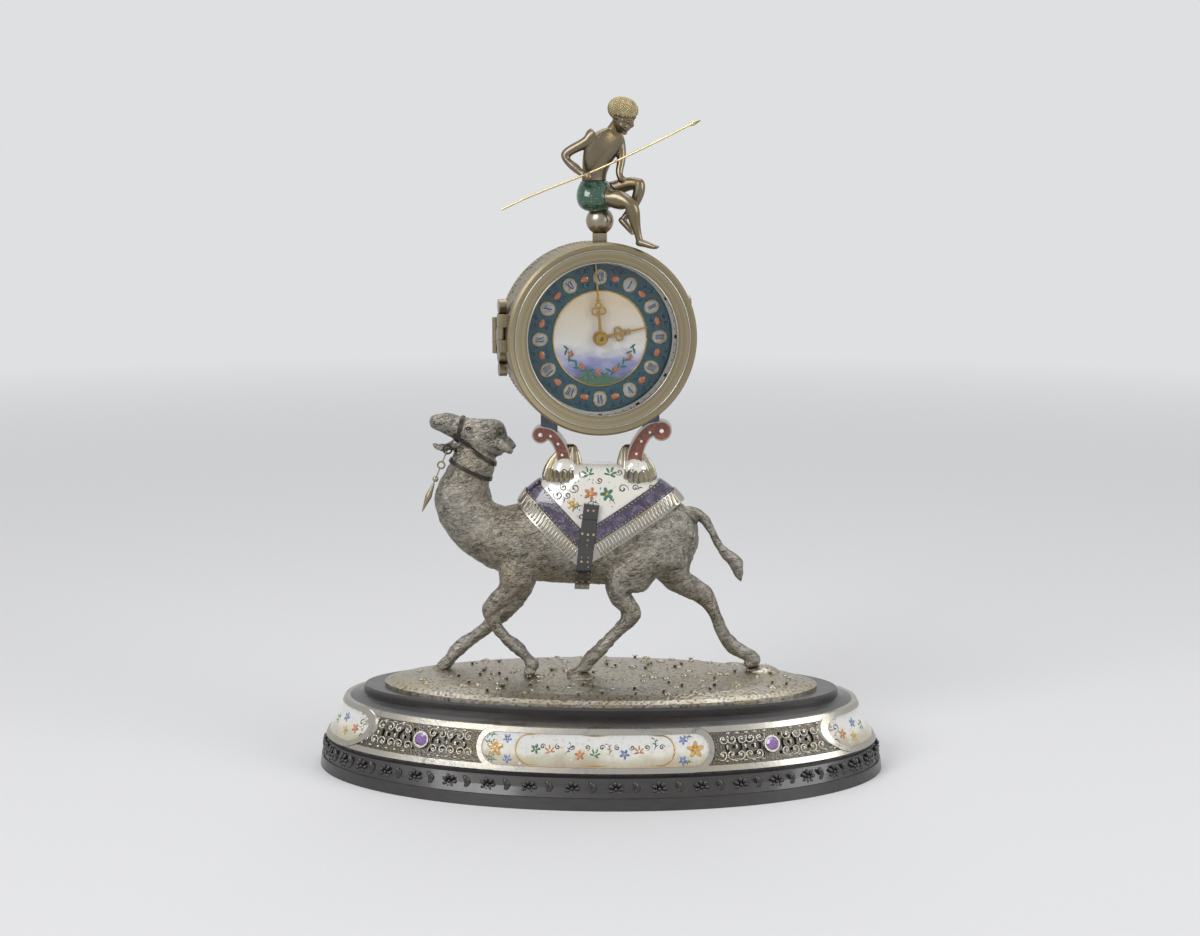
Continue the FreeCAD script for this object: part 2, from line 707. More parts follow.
def band_frame(side_x, side_y, outset):
    """Place and outward direction of a gem on the band, for one quarter of the oval."""
    x = side_x * band_half_width * gem_place_share
    y = side_y * band_half_depth * math.sqrt(1 - gem_place_share * gem_place_share)
    slope = math.atan2(band_head_inset[1] - band_foot_inset[1], band_height)
    level = Vec(x / band_half_width ** 2, y / band_half_depth ** 2, 0).normalize()
    outward = level * math.cos(slope) + Vec(0, 0, math.sin(slope))
    return Vec(x, y, band_middle) + outward * outset, outward, level


def scroll_cut(centre, outward, along, turn):
    """One curled slot with a round eye, cut square to the band."""
    reach = plaque_bed_depth + 4 * panel_stand_off
    base = centre - outward * (reach / 2)
    slot = Part.makeCylinder(scroll_radius, reach, base, outward)
    slot = slot.cut(Part.makeCylinder(scroll_radius - scroll_slot, reach, base, outward))
    blade = Part.makeBox(scroll_radius * 2, scroll_slot, reach)
    blade.translate(Vec(0, -scroll_slot / 2, 0))
    blade.Placement = FreeCAD.Placement(base, FreeCAD.Rotation(along, outward.cross(along),
                                                               outward)).multiply(
        FreeCAD.Placement(Vec(0, 0, 0), FreeCAD.Rotation(Vec(0, 0, 1), turn))).multiply(blade.Placement)
    eye = Part.makeCylinder(scroll_eye_radius, reach, base, outward)
    return [slot.cut(blade), eye]


scroll_turns = (30.0, 210.0)
cuts = []
for side_x in (-1, 1):
    for side_y in (-1, 1):
        centre, outward, level = band_frame(side_x, side_y, 0)
        along = Vec(-level.y, level.x, 0)
        rise = outward.cross(along)
        for step, turn in ((-1, scroll_turns[0]), (1, scroll_turns[1])):
            for reach_share in (2.15, 4.35):
                shift = along * (step * scroll_radius * reach_share)
                drop = level * (-(scroll_radius * reach_share) ** 2 / (2 * band_half_width) * 0.9)
                cuts += scroll_cut(centre + shift + drop, outward, along, turn * reach_share)
            for tier in (-1, 1):
                spot = centre + along * (step * scroll_radius * 1.05) + rise * (tier * scroll_radius)
                cuts.append(Part.makeCylinder(scroll_eye_radius, 4, spot - outward * 2, outward))
pierced = panel_ring.cut(cuts)
save("pierced_panels", Part.makeCompound(pierced.Solids))

collets = []
gems = []
for side_x in (-1, 1):
    for side_y in (-1, 1):
        seat, outward, level = band_frame(side_x, side_y, panel_stand_off)
        collet = Part.makeCylinder(gem_collet_radius, gem_collet_height, seat, outward)
        pocket = Part.makeCylinder(gem_radius, gem_collet_height, seat + outward * (gem_collet_height / 2),
                                   outward)
        collets.append(collet.cut(pocket))
        rings = []
        for lift, spread in ((gem_collet_height / 2, 1.0), (gem_collet_height, 1.0),
                             (gem_collet_height / 2 + gem_height, 0.6)):
            corner = []
            for step in range(9):
                angle = 2 * math.pi * step / 8
                along = Vec(-level.y, level.x, 0)
                rise = outward.cross(along)
                ray = along * math.cos(angle) + rise * math.sin(angle)
                corner.append(seat + outward * lift + ray * (gem_radius * spread * 0.98))
            rings.append(Part.makePolygon(corner))
        gems.append(Part.makeLoft(rings, True, True))
save("gem_collets", Part.makeCompound(collets))
save("gems", Part.makeCompound(gems))

# Camel: trunk with humps, head, legs and tail, each seated on its neighbour
near_fore_side = near_fore_side_share * camel_height
far_fore_side = far_fore_side_share * camel_height
near_hind_side = near_hind_side_share * camel_height
far_hind_side = far_hind_side_share * camel_height
camel_trunk = fuse_all([body_loft(trunk_shares + neck_shares, 0)]
                       + [hump_loft(stations) for stations in hump_stations])
save("camel_trunk", camel_trunk)

ear_side = ear_side_share * camel_height
ears = [body_loft(ear_shares, side * ear_side) for side in (-1, 1)]
skull = body_loft(head_shares, 0)
camel_head = fuse_all([skull, body_loft(jaw_shares, 0)] + ears).cut(camel_trunk)
save("camel_head", camel_head)

legs = (("foreleg_near", near_foreleg_shares, near_fore_side),
        ("foreleg_far", far_foreleg_shares, far_fore_side),
        ("hindleg_near", near_hindleg_shares, near_hind_side),
        ("hindleg_far", far_hindleg_shares, far_hind_side))
saddle_solid = torso(max(fringe_thickness, band_thickness) + cloth_seat_gap)
leg_shapes = {}
for name, stations, side in legs:
    leg = body_loft(stations, side).cut(camel_trunk).cut(ground_plate)
    leg_shapes[name] = max(leg.Solids, key=lambda solid: solid.Volume)

# Saddle: cloth, border band and fringe as layers of the torso's own form
left = camel_point(saddle_left_share)
right = camel_point(saddle_right_share)
apex = camel_point(saddle_apex_share)
roof = camel_ground + saddle_top_share * camel_height


def inset_outline(inset):
    """The saddle's V outline moved inwards square to its two lower edges."""
    left_run = Vec(apex[0] - left[0], 0, apex[1] - left[1])
    right_run = Vec(right[0] - apex[0], 0, right[1] - apex[1])
    left_rise = inset * left_run.Length / abs(left_run.x)
    right_rise = inset * right_run.Length / abs(right_run.x)
    left_slope = left_run.z / left_run.x
    right_slope = right_run.z / right_run.x
    shift = (right_rise - left_rise) / (left_slope - right_slope)
    tip = (apex[0] + shift, apex[1] + left_rise + left_slope * shift)
    left_end = (left[0] + inset, left[1] + left_rise + left_slope * inset)
    right_end = (right[0] - inset, right[1] + right_rise - right_slope * inset)
    return [(left_end[0], roof), left_end, tip, right_end, (right_end[0], roof)]


seat = torso(cloth_seat_gap)
cloth_inset = fringe_width + saddle_band_width
fringe_shell = torso(fringe_thickness).cut(seat)
band_shell_solid = torso(band_thickness).cut(seat)
cloth_shell = torso(cloth_thickness).cut(seat)
girth_shell = torso(girth_thickness)
girth_top = camel_point((saddle_apex_share[0] + 0.045, saddle_apex_share[1] + 0.27))
girth_foot = camel_point(girth_foot_share)
girth_prism = strip_prism(girth_top, girth_foot, girth_width)
girth_cutter = strip_prism(girth_top, girth_foot, girth_width + 2 * saddle_border_gap)
saddle_cloth = cloth_shell.common(side_prism(inset_outline(cloth_inset
                                                           + saddle_border_gap))).cut(girth_cutter)
saddle_band = band_shell_solid.common(side_prism(inset_outline(fringe_width + saddle_border_gap)))
saddle_band = saddle_band.cut(side_prism(inset_outline(cloth_inset))).cut(girth_cutter)
fringe = fringe_shell.common(side_prism(inset_outline(0))).cut(side_prism(inset_outline(fringe_width)))
fringe = fringe.cut(girth_cutter)
save("saddle_cloth", saddle_cloth.cut(camel_trunk))
save("saddle_band", saddle_band.cut(camel_trunk))
save("saddle_fringe", fringe.cut(camel_trunk))
girth_strap = girth_shell.cut(seat).common(girth_prism).cut(camel_trunk)
save("girth_strap", girth_strap)

tail = body_loft(tail_shares, 0).cut(camel_trunk).cut(saddle_solid.common(side_prism(inset_outline(0))))
tail = max(tail.Solids, key=lambda solid: solid.Volume)
save("tail", tail)
saddle_room = saddle_solid.common(side_prism(inset_outline(-saddle_border_gap)))
for name, leg in leg_shapes.items():
    leg = leg.cut(saddle_room).cut(girth_shell.common(girth_cutter))
    save(name, max(leg.Solids, key=lambda solid: solid.Volume))

# Bridle straps on the head and neck
head_grown = body_loft(head_shares, 0, strap_thickness)
neck_grown = body_loft(neck_shares, 0, strap_thickness)
strap_blank = fuse_all([head_grown, neck_grown]).cut(fuse_all([body_loft(head_shares, 0, strap_seat_gap),
                                                               body_loft(neck_shares, 0, strap_seat_gap)]))
strap_blank = strap_blank.cut(camel_head).cut(camel_trunk)
straps = []
for start, end in strap_line_shares:
    straps.append(strap_blank.common(strip_prism(camel_point(start), camel_point(end), strap_width)))

# Drum frame: local X to the viewer's right, local Y up, local Z towards the viewer
turn = math.radians(drum_turn)
drum_right = Vec(math.cos(turn), math.sin(turn), 0)
drum_front = Vec(math.sin(turn), -math.cos(turn), 0)
drum_centre = Vec(drum_x, 0, drum_height) + drum_front * drum_mid_depth
drum_frame = FreeCAD.Placement(drum_centre, FreeCAD.Rotation(drum_right, Vec(0, 0, 1), drum_front))


def placed(shape):
    """A copy of a shape drawn in the drum's own frame, put where the drum is."""
    moved = shape.copy()
    moved.Placement = drum_frame.multiply(moved.Placement)
    return moved


def ring(outer, inner, back, front, x=0.0, y=0.0):
    """A round ring or disc in the drum's frame between two depths."""
    solid = cylinder(outer, front - back, Vec(x, y, back))
    if inner > 0:
        solid = solid.cut(cylinder(inner, front - back, Vec(x, y, back)))
    return solid


def polar(reach, angle):
    """A point in the drum's frame from a radius and an angle in degrees."""
    return (reach * math.cos(math.radians(angle)), reach * math.sin(math.radians(angle)))


def flat_solid(points, back, front):
    """A plate with straight sides in the drum's frame."""
    corners = [Vec(x, y, back) for x, y in points]
    return Part.Face(Part.makePolygon(corners + corners[:1])).extrude(Vec(0, 0, front - back))


# Case, its ledge, lugs and hinge knuckles
case_inner = case_radius - case_wall
case_shell = ring(case_radius, case_inner, -case_back, case_front)
ledge_top = -front_plate_top - plate_thickness
ledge = ring(case_inner, case_inner - ledge_width, ledge_top - ledge_height, ledge_top)
pin_x = -(bezel_radius + bezel_hinge_reach)
pin_z = bezel_back - knuckle_radius - knuckle_gap
cover_pin_x = -(case_radius + cover_hinge_reach)
cover_back = -case_back - cover_gap - cover_thickness
cover_pin_z = -case_back - cover_gap


def knuckle(x, z, low, high, bore):
    """One hinge knuckle standing along the drum's upright."""
    up = Vec(0, 1, 0)
    body = cylinder(knuckle_radius, high - low, Vec(x, low, z), up)
    return body.cut(cylinder(bore, high - low, Vec(x, low, z), up))


def lug(x_from, x_to, z_low, z_high, low, high):
    """A flat web that ties a knuckle to its leaf."""
    web = Part.makeBox(abs(x_to - x_from), high - low, z_high - z_low)
    web.translate(Vec(min(x_from, x_to), low, z_low))
    return web


loose_bore = hinge_pin_radius + hinge_pin_fit
middle = (bezel_hinge_height - knuckle_length / 2, bezel_hinge_height + knuckle_length / 2)
upper = (middle[1] + knuckle_gap, middle[1] + knuckle_gap + knuckle_length)
lower = (middle[0] - knuckle_gap - knuckle_length, middle[0] - knuckle_gap)
pin_length = upper[1] - lower[0]
cover_pin_length = 3 * knuckle_length
pin_room = [cylinder(loose_bore, 2 * pin_length, Vec(pin_x, lower[0] - pin_length / 2, pin_z), Vec(0, 1, 0)),
            cylinder(loose_bore, 2 * cover_pin_length, Vec(cover_pin_x, -cover_pin_length, cover_pin_z),
                     Vec(0, 1, 0))]
case_web = lug(pin_x, -case_inner - case_wall / 2, pin_z - knuckle_radius, pin_z, middle[0], middle[1])
cover_middle = (-knuckle_length / 2, knuckle_length / 2)
cover_web = lug(cover_pin_x, -case_inner - case_wall / 2, cover_pin_z, cover_pin_z + knuckle_radius,
                cover_middle[0],
                cover_middle[1])
case_knuckles = [knuckle(pin_x, pin_z, middle[0], middle[1], hinge_pin_radius),
                 knuckle(cover_pin_x, cover_pin_z, cover_middle[0], cover_middle[1], hinge_pin_radius)]
case = fuse_all([case_shell, ledge, case_web, cover_web] + case_knuckles)
cover_pin_foot = Vec(cover_pin_x, -cover_pin_length / 2, cover_pin_z)
pins = [cylinder(hinge_pin_radius, pin_length, Vec(pin_x, lower[0], pin_z), Vec(0, 1, 0)),
        cylinder(hinge_pin_radius, cover_pin_length, cover_pin_foot, Vec(0, 1, 0))]
case = case.cut(pins)
inner_room = ring(case_inner, 0, ledge_top, case_front)
case = case.cut(inner_room)
save("drum_case", placed(case))
save("hinge_pins", Part.makeCompound([placed(pin) for pin in pins]))

# Bezel: a turned ring with a rounded rim and a wide cove down to the glass
cove_top = bezel_radius - bezel_rim_width
lip_front = glass_back + glass_thickness + glass_gap + bezel_lip
cove_middle = Vec((cove_top * 0.45 + bezel_opening * 0.55), 0, lip_front + (bezel_front - lip_front) * 0.30)
bezel_points = [Vec(glass_radius + glass_gap, 0, bezel_back), Vec(bezel_radius, 0, bezel_back),
                Vec(bezel_radius, 0, bezel_front - bezel_rim_round),
                Vec(bezel_radius - bezel_rim_round, 0, bezel_front),
                Vec(cove_top, 0, bezel_front - bezel_rim_round / 2), Vec(bezel_opening, 0, lip_front),
                Vec(bezel_opening, 0, glass_back + glass_thickness + glass_gap),
                Vec(glass_radius + glass_gap, 0, glass_back + glass_thickness + glass_gap)]
edges = []
for index, point in enumerate(bezel_points):
    following = bezel_points[(index + 1) % len(bezel_points)]
    if index == 4:
        edges.append(Part.Arc(point, cove_middle, following).toShape())
    else:
        edges.append(Part.LineSegment(point, following).toShape())
bezel_ring = Part.Face(Part.Wire(edges)).revolve(Vec(0, 0, 0), Vec(0, 0, 1), 360)
bezel_webs = [lug(pin_x, -bezel_radius + bezel_rim_width, bezel_back, bezel_back + knuckle_radius, span[0],
                  span[1])
              for span in (upper, lower)]
bezel_knuckles = [knuckle(pin_x, pin_z, span[0], span[1], loose_bore) for span in (upper, lower)]
risers = [lug(pin_x - knuckle_radius * 0.7, pin_x + knuckle_radius * 0.7, pin_z, bezel_back + knuckle_radius,
              span[0], span[1])
          for span in (upper, lower)]
bezel = fuse_all([bezel_ring] + bezel_webs + risers + bezel_knuckles).cut(pin_room[0])
save("bezel", placed(bezel))

glass = ring(glass_radius, 0, glass_back, glass_back + glass_thickness)
save("bezel_glass", placed(glass))

# Back cover: a shallow crowned disc with a thumb lip
cover_disc = ring(case_radius, 0, cover_back, cover_back + cover_thickness)
crown_radius = (case_radius ** 2 + cover_crown ** 2) / (2 * cover_crown)
crown = Part.makeSphere(crown_radius, Vec(0, 0, cover_back - cover_crown + crown_radius))
crown = crown.common(ring(case_radius - case_wall, 0, cover_back - cover_crown * 2, cover_back))
cover_spans = ((cover_middle[1] + knuckle_gap, cover_pin_length / 2),
               (-cover_pin_length / 2, cover_middle[0] - knuckle_gap))
cover_knuckles = [knuckle(cover_pin_x, cover_pin_z, span[0], span[1], loose_bore) for span in cover_spans]
cover_webs = [lug(cover_pin_x, -case_radius + cover_lip, cover_back, cover_back + cover_thickness, span[0],
                  span[1])
              for span in cover_spans]
thumb_lip = lug(case_radius - cover_lip, case_radius + cover_lip, cover_back, cover_back + cover_thickness,
                -cover_lip, cover_lip)
back_cover = fuse_all([cover_disc, crown, thumb_lip] + cover_webs + cover_knuckles).cut(pin_room[1])
save("back_cover", placed(back_cover))

# Side ornaments: lobed scroll mounts on both flanks of the case
ornaments = []
for side in (-1, 1):
    lobes = []
    for step in range(ornament_lobes):
        share = step / (ornament_lobes - 1) * 2 - 1
        radius = ornament_width / 2 * (1 - 0.35 * abs(share))
        base = Vec(side * (case_radius - ornament_thickness / 2), share * ornament_length, -case_back / 2)
        lobes.append(cylinder(radius, 1.5 * ornament_thickness * (1 - 0.12 * abs(share)), base,
                              Vec(side, 0, 0)))
    ornament = fuse_all(lobes).cut(ring(case_radius, 0, -case_back, case_front))
    ornaments += ornament.Solids
save("side_ornaments", Part.makeCompound([placed(solid) for solid in ornaments]))

# Dial: enamelled chapter ring with its feet, and the painted centre set in it
hour_pipe_radius = centre_arbor_radius + pipe_fit + cannon_wall + pipe_fit + hour_pipe_wall
dial_hole = hour_pipe_radius + dial_hole_gap
feet_points = [polar(dial_foot_place, angle) for angle in (60.0, 180.0, 300.0)]
foot_length = front_plate_top - dial_thickness + plate_thickness / 2
feet = [cylinder(dial_foot_radius, foot_length, Vec(x, y, -dial_thickness - foot_length)) for x, y in feet_points]
chapter_plate = ring(dial_radius, dial_hole, -dial_thickness, -dial_ring_step)
chapter_ring = ring(dial_radius - track_width, dial_centre_radius + dial_joint_gap, -dial_ring_step, 0)
track_ring = ring(dial_radius, dial_radius - track_width, -dial_ring_step, -dial_ring_step / 2)
save("dial", placed(fuse_all([chapter_plate, chapter_ring, track_ring] + feet)))
save("dial_centre", placed(ring(dial_centre_radius, dial_hole, -dial_ring_step, 0)))

# Movement plates and pillars
front_plate_back = -front_plate_top - plate_thickness
back_plate_back = -back_plate_top - plate_thickness
plates_apart = back_plate_top - front_plate_top - plate_thickness


def step_point(start, reach, angle):
    """The next arbor's place at a distance and direction from the last."""
    x, y = polar(reach, angle)
    return (start[0] + x, start[1] + y)


centre = (0.0, 0.0)
barrel_at = step_point(centre, barrel_module * (barrel_teeth + centre_pinion_teeth) / 2, barrel_direction)
third_at = step_point(centre, centre_module * (centre_wheel_teeth + third_pinion_teeth) / 2, third_direction)
fourth_at = step_point(third_at, third_module * (third_wheel_teeth + fourth_pinion_teeth) / 2,
                       fourth_direction)
escape_at = step_point(fourth_at, fourth_module * (fourth_wheel_teeth + escape_pinion_teeth) / 2,
                       escape_direction)
balance_reach = escape_radius + balance_staff_radius + balance_staff_gap
balance_at = step_point(escape_at, balance_reach, balance_direction)
minute_at = step_point(centre, minute_module * (cannon_teeth + minute_wheel_teeth) / 2, motion_direction)
pivot_hole = pivot_radius + pivot_fit
staff_hole = balance_staff_radius + dial_hole_gap
front_holes = [(third_at, pivot_hole), (fourth_at, pivot_hole), (escape_at, pivot_hole),
               (barrel_at, winding_radius + pivot_fit),
               (centre, centre_arbor_radius + pivot_fit), (balance_at, pivot_hole),
               (minute_at, motion_stud_radius)]
back_holes = [(third_at, pivot_hole), (fourth_at, pivot_hole), (escape_at, pivot_hole),
              (barrel_at, winding_radius + pivot_fit), (centre, pivot_hole), (balance_at, staff_hole)]
pillar_points = [polar(pillar_place, angle) for angle in pillar_angles]
screw_hole = pillar_radius / 2


def drilled(disc, back, holes):
    """A plate with its round holes cut."""
    bores = [cylinder(radius, plate_thickness * 3, Vec(x, y, back - plate_thickness)) for (x, y),
             radius in holes]
    return disc.cut(bores)


front_holes += [(point, dial_foot_radius) for point in feet_points]
front_plate = ring(case_inner - front_plate_fit, 0, front_plate_back, -front_plate_top)
save("front_plate", placed(drilled(front_plate, front_plate_back, front_holes)))
back_plate = ring(back_plate_radius, 0, back_plate_back, -back_plate_top)
back_holes += [(point, screw_hole) for point in pillar_points]
save("back_plate", placed(drilled(back_plate, back_plate_back, back_holes)))
pillars = []
for x, y in pillar_points:
    post = cylinder(pillar_radius, plates_apart, Vec(x, y, -back_plate_top))
    stem = cylinder(screw_hole, plate_thickness, Vec(x, y, back_plate_back))
    head = cylinder(pillar_radius, pillar_radius / 2, Vec(x, y, back_plate_back - pillar_radius / 2))
    pillars.append(fuse_all([post, stem, head]))


def gear_disc(teeth, module, back, front, at, phase):
    """A toothed disc; the phase is the direction of one tooth in degrees."""
    pitch = 2 * math.pi / teeth
    pitch_radius = module * teeth / 2
    tip = pitch_radius + 0.70 * module
    root = pitch_radius - 1.10 * module
    points = []
    for tooth in range(teeth):
        middle_angle = math.radians(phase) + tooth * pitch
        for radius, half_share in ((root, -0.27), (tip, -0.08), (tip, 0.08), (root, 0.27)):
            angle = middle_angle + half_share * pitch
            points.append((at[0] + radius * math.cos(angle), at[1] + radius * math.sin(angle)))
    return flat_solid(points, back, front)


def crossed(teeth, module, back, front, at, phase, spokes):
    """A wheel with a rim, spokes and a hub."""
    wheel = gear_disc(teeth, module, back, front, at, phase)
    inner = module * teeth / 2 - 1.10 * module - wheel_rim
    window = ring(inner, wheel_hub_radius, back, front, at[0], at[1])
    bars = []
    for spoke in range(spokes):
        bar = Part.makeBox(inner, wheel_spoke_width, front - back)
        bar.translate(Vec(0, -wheel_spoke_width / 2, back))
        bar.rotate(Vec(0, 0, 0), Vec(0, 0, 1), phase + spoke * 360.0 / spokes)
        bar.translate(Vec(at[0], at[1], 0))
        bars.append(bar)
    return wheel.cut(window.cut(bars))


def mesh_phase(phase, teeth, direction, other_teeth):
    """The phase that puts a gap of the next wheel where a tooth of this one points."""
    offset = (direction - phase) * teeth / 360.0
    return direction + 180.0 + (offset + 0.5) * 360.0 / other_teeth


def arbor(at):
    """A plain arbor between the plates with a pivot at each end."""
    x, y = at
    body = cylinder(arbor_radius, plates_apart - 2 * arbor_end_play,
                    Vec(x, y, -back_plate_top + arbor_end_play))
    pivots = cylinder(pivot_radius, plates_apart + 2 * pivot_length,
                      Vec(x, y, -back_plate_top - pivot_length))
    return body.fuse(pivots)


# Going train, from the barrel to the balance
centre_phase = 0.0
centre_back = front_plate_back - arbor_end_play - 2 * wheel_thickness
third_back = -back_plate_top + 2 * wheel_thickness
fourth_back = (centre_back + third_back) / 2 - wheel_thickness / 2
escape_back = centre_back
barrel_back = -back_plate_top + wheel_thickness
third_phase = mesh_phase(centre_phase, centre_wheel_teeth, third_direction, third_pinion_teeth)
fourth_phase = mesh_phase(third_phase, third_wheel_teeth, fourth_direction, fourth_pinion_teeth)
escape_phase = mesh_phase(fourth_phase, fourth_wheel_teeth, escape_direction, escape_pinion_teeth)
barrel_phase = mesh_phase(centre_phase, centre_pinion_teeth, barrel_direction, barrel_teeth)

centre_spindle = cylinder(centre_arbor_radius, back_plate_top - arbor_end_play + minute_hand_lift,
                          Vec(0, 0, -back_plate_top + arbor_end_play))
centre_pivot = cylinder(pivot_radius, pivot_length + arbor_end_play,
                        Vec(0, 0, -back_plate_top - pivot_length))
centre_pinion = gear_disc(centre_pinion_teeth, barrel_module, barrel_back - arbor_end_play,
                          barrel_back + wheel_thickness + arbor_end_play, centre, centre_phase)
centre_body = cylinder(arbor_radius * 2, centre_back - barrel_back, Vec(0, 0, barrel_back))
centre_wheel = crossed(centre_wheel_teeth, centre_module, centre_back, centre_back + wheel_thickness, centre,
                       centre_phase, 4)
save("centre_wheel", placed(fuse_all([centre_spindle, centre_pivot, centre_pinion, centre_body,
                                      centre_wheel])))


def train_wheel(name, at, pinion, wheel, teeth_disc):
    """An arbor with its pinion and its wheel; each is (teeth, module, back, phase)."""
    teeth, module, back, phase = pinion
    leaves = gear_disc(teeth, module, back - arbor_end_play, back + wheel_thickness + arbor_end_play, at,
                       phase)
    save(name, placed(fuse_all([arbor(at), leaves, teeth_disc])))


third_disc = crossed(third_wheel_teeth, third_module, third_back, third_back + wheel_thickness, third_at,
                     third_phase, 4)
train_wheel("third_wheel", third_at, (third_pinion_teeth, centre_module, centre_back, third_phase), None,
            third_disc)
fourth_disc = crossed(fourth_wheel_teeth, fourth_module, fourth_back, fourth_back + wheel_thickness,
                      fourth_at, fourth_phase, 4)
train_wheel("fourth_wheel", fourth_at, (fourth_pinion_teeth, third_module, third_back, fourth_phase), None,
            fourth_disc)

escape_points = []
for tooth in range(escape_teeth):
    for radius, share in ((escape_radius * 0.72, 0.0), (escape_radius, 0.30), (escape_radius, 0.42),
                          (escape_radius * 0.72, 0.50)):
        escape_points.append(step_point(escape_at, radius, (tooth + share) * 360.0 / escape_teeth))
escape_disc = flat_solid(escape_points, escape_back, escape_back + wheel_thickness)
escape_disc = escape_disc.cut(ring(escape_radius * 0.52, wheel_hub_radius * 0.8, escape_back,
                                   escape_back + wheel_thickness,
                                   escape_at[0], escape_at[1]).cut(
    [flat_solid([step_point(escape_at, escape_radius, angle - 9),
                 step_point(escape_at, escape_radius, angle + 9),
                 step_point(escape_at, escape_radius, angle + 171),
                 step_point(escape_at, escape_radius, angle + 189)],
                escape_back, escape_back + wheel_thickness) for angle in (0, 90)]))
train_wheel("escape_wheel", escape_at, (escape_pinion_teeth, fourth_module, fourth_back, escape_phase), None,
            escape_disc)

barrel_front = barrel_back + wheel_thickness + barrel_body_length
barrel_body = ring(barrel_body_radius, 0, barrel_back, barrel_front, barrel_at[0], barrel_at[1])
barrel_room = ring(barrel_body_radius - barrel_wall, winding_radius * 2, barrel_back + barrel_wall,
                   barrel_front - barrel_wall,
                   barrel_at[0], barrel_at[1])
barrel_flange = gear_disc(barrel_teeth, barrel_module, barrel_back, barrel_back + wheel_thickness, barrel_at,
                          barrel_phase)
barrel = fuse_all([barrel_body, barrel_flange]).cut(barrel_room)
barrel_bore = cylinder(winding_radius + pivot_fit, 2 * back_plate_top,
                       Vec(barrel_at[0], barrel_at[1], -1.5 * back_plate_top))
save("spring_barrel", placed(barrel.cut(barrel_bore)))

# Winding arbor with its ratchet wheel behind the back plate, and the click that holds it
ratchet_front = back_plate_back - ratchet_gap
ratchet_back = ratchet_front - wheel_thickness
ratchet_points = []
for tooth in range(ratchet_teeth):
    for radius, share in ((ratchet_radius - ratchet_tooth_height, 0.0), (ratchet_radius, 0.08)):
        ratchet_points.append(step_point(barrel_at, radius, (tooth + share) * 360.0 / ratchet_teeth))
ratchet = flat_solid(ratchet_points, ratchet_back, ratchet_front)
arbor_front = front_plate_back + pivot_length
winding_rod = cylinder(winding_radius, arbor_front - ratchet_back,
                       Vec(barrel_at[0], barrel_at[1], ratchet_back))
square = Part.makeBox(winding_square, winding_square, winding_reach + ratchet_back)
square.translate(Vec(barrel_at[0] - winding_square / 2, barrel_at[1] - winding_square / 2, -winding_reach))
save("winding_arbor", placed(fuse_all([ratchet, winding_rod, square])))

click_pivot = (barrel_at[0] + ratchet_radius + click_gap + click_width / 2, barrel_at[1] + click_length)
click_body = ring(click_bush_radius, 0, ratchet_back, ratchet_front, click_pivot[0], click_pivot[1])
beak = flat_solid([(click_pivot[0] - click_width / 2, click_pivot[1]),
                   (click_pivot[0] + click_width / 2, click_pivot[1]),
                   (click_pivot[0] + click_width / 4, click_pivot[1] - click_length * 0.9),
                   (click_pivot[0] - click_width / 2, click_pivot[1] - click_length)], ratchet_back,
                  ratchet_front)
click_hole = cylinder(pivot_radius + pivot_fit, 4 * wheel_thickness,
                      Vec(click_pivot[0], click_pivot[1], ratchet_back - 2 * wheel_thickness))
save("click", placed(fuse_all([click_body, beak]).cut(click_hole)))
click_screw = cylinder(pivot_radius, ratchet_gap + wheel_thickness + pivot_fit,
                       Vec(click_pivot[0], click_pivot[1],
                           back_plate_back - ratchet_gap - wheel_thickness - pivot_fit))
click_head = cylinder(click_bush_radius * 0.8, wheel_thickness / 2,
                      Vec(click_pivot[0], click_pivot[1], ratchet_back - pivot_fit - wheel_thickness / 2))

# Balance with its staff, and the cock that carries its back pivot
balance_wheel = ring(balance_radius, balance_radius - balance_rim, -balance_depth - wheel_thickness,
                     -balance_depth,
                     balance_at[0], balance_at[1])
balance_bar = Part.makeBox(2 * (balance_radius - balance_rim / 2), wheel_spoke_width, wheel_thickness)
balance_bar.translate(Vec(balance_at[0] - balance_radius + balance_rim / 2,
                          balance_at[1] - wheel_spoke_width / 2,
                          -balance_depth - wheel_thickness))
staff_back = -cock_depth + arbor_end_play
staff = cylinder(balance_staff_radius, front_plate_back - arbor_end_play - staff_back,
                 Vec(balance_at[0], balance_at[1], staff_back))
staff_pivots = cylinder(pivot_radius, cock_depth + cock_thickness * 0.7 - front_plate_top - plate_thickness
                        + pivot_length,
                        Vec(balance_at[0], balance_at[1], -cock_depth - cock_thickness * 0.7))
save("balance", placed(fuse_all([balance_wheel, balance_bar, staff, staff_pivots])))

cock_reach = balance_radius + cock_foot_length
cock_arm = Part.makeBox(cock_reach + cock_width / 2, cock_width, cock_thickness)
cock_arm.translate(Vec(balance_at[0] - cock_reach, balance_at[1] - cock_width / 2,
                       -cock_depth - cock_thickness))
cock_foot = Part.makeBox(cock_foot_length - dial_hole_gap * 2, cock_width, cock_depth + back_plate_back)
cock_foot.translate(Vec(balance_at[0] - cock_reach, balance_at[1] - cock_width / 2, -cock_depth))
cock_bore = cylinder(pivot_hole, 3 * cock_thickness,
                     Vec(balance_at[0], balance_at[1], -cock_depth - 2 * cock_thickness))
save("balance_cock", placed(fuse_all([cock_arm, cock_foot]).cut(cock_bore)))

